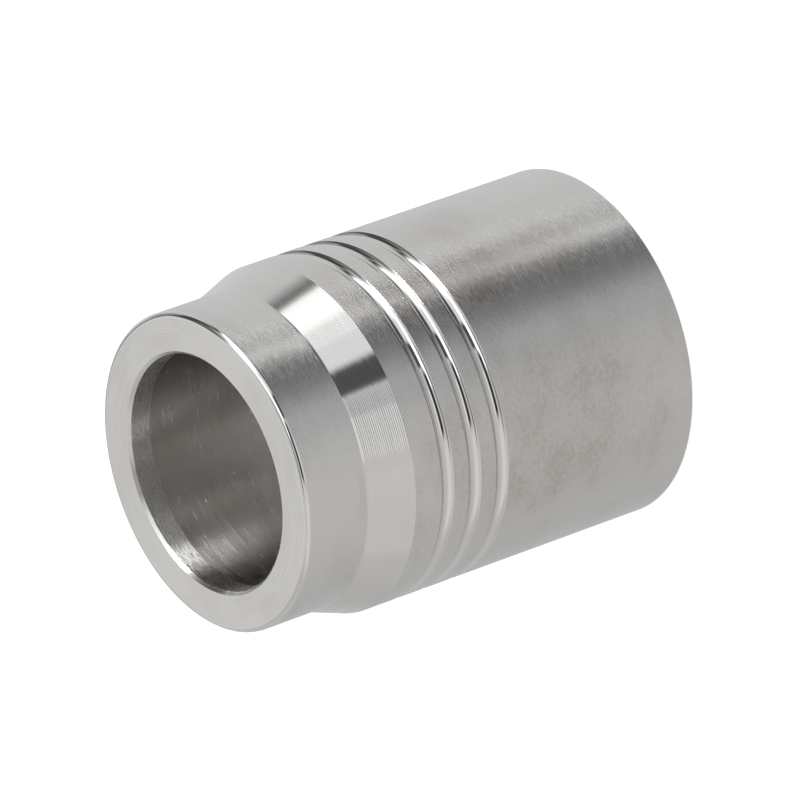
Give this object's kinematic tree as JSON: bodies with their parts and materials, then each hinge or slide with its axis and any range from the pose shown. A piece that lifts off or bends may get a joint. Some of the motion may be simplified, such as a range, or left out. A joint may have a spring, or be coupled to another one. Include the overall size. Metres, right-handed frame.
{
  "type": "crimp hose ferrule",
  "caption": "Turned stainless steel sleeve that is crimped over a hose end: narrower collar, conical shoulder, marking grooves, and an inner lip that locks behind the hose nipple.",
  "frame": {"origin": "centre of the hose end's flat ring face, on the axis", "axes": "+Z along the sleeve's axis, from the hose end towards the collar; X and Y are equal, because the sleeve is round"},
  "size_m": [0.034, 0.034, 0.045],
  "materials": {
    "stainless_steel": "turned stainless steel: satin drawn surface on body and collar, finely ridged and brighter on the shoulder, polished in the marking grooves"
  },
  "bodies": {
    "root": {"ferrule": "stainless_steel"}
  },
  "joints": []
}
